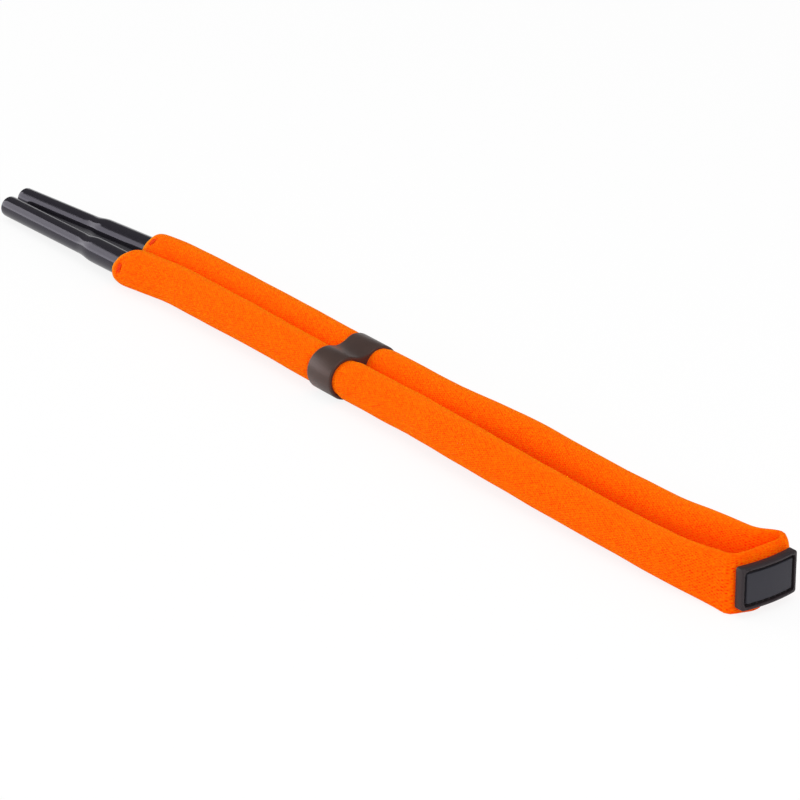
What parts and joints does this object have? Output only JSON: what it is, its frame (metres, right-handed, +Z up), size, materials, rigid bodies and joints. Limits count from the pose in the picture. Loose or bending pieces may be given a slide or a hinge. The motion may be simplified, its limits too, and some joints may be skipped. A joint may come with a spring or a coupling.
{
  "type": "floating eyewear retainer",
  "caption": "Floating eyewear retainer folded in a U: a knitted tube over foam rods, a sliding two-hole keeper, soft rubber temple tubes and a plain moulded label.",
  "frame": {"origin": "on the surface that the folded strap lies on, below the middle of its overall box", "axes": "+X along the arms from the temple tubes towards the folded bend and its label, +Y from the front arm to the rear arm, +Z up from the surface"},
  "size_m": [0.3285, 0.0256, 0.0146],
  "materials": {
    "knit": "fine orange knit, matte with a soft sheen",
    "foam": "closed-cell foam, pale",
    "tube_rubber": "smooth black rubber, semi-gloss",
    "core_plastic": "plain black plastic rod",
    "tack_thread": "dark red-orange sewing thread",
    "slider_rubber": "moulded black elastomer, satin",
    "label_rubber": "moulded charcoal rubber, matte",
    "panel_rubber": "moulded charcoal rubber, matte, blank",
    "label_thread": "black sewing thread"
  },
  "bodies": {
    "strap": {"sleeve_front": "knit", "sleeve_rear": "knit", "sleeve_bend": "knit", "foam_rod_front": "foam", "foam_rod_rear": "foam", "label_base": "label_rubber", "label_panel": "panel_rubber", "label_stitches": "label_thread"},
    "slider": {"slider": "slider_rubber"},
    "end_front": {"sleeve_end_front": "knit", "foam_end_front": "foam", "temple_tube_front": "tube_rubber", "core_rod_front": "core_plastic", "tack_front": "tack_thread"},
    "end_rear": {"sleeve_end_rear": "knit", "foam_end_rear": "foam", "temple_tube_rear": "tube_rubber", "core_rod_rear": "core_plastic", "tack_rear": "tack_thread"}
  },
  "joints": [
    {"name": "slider_slide", "type": "slide", "parent": "strap", "child": "slider", "axis": [1, 0, 0], "range_m": [-0.073, 0.028]},
    {"name": "end_front_flex", "type": "hinge", "parent": "strap", "child": "end_front", "pos_m": [-0.07838, -0.01055, 0.00615], "axis": [0, 0, 1], "range_deg": [0, 30], "stiffness_Nm_per_rad": 0.02},
    {"name": "end_rear_flex", "type": "hinge", "parent": "strap", "child": "end_rear", "pos_m": [-0.07838, 0.01045, 0.00615], "axis": [0, 0, -1], "range_deg": [0, 30], "stiffness_Nm_per_rad": 0.02}
  ]
}
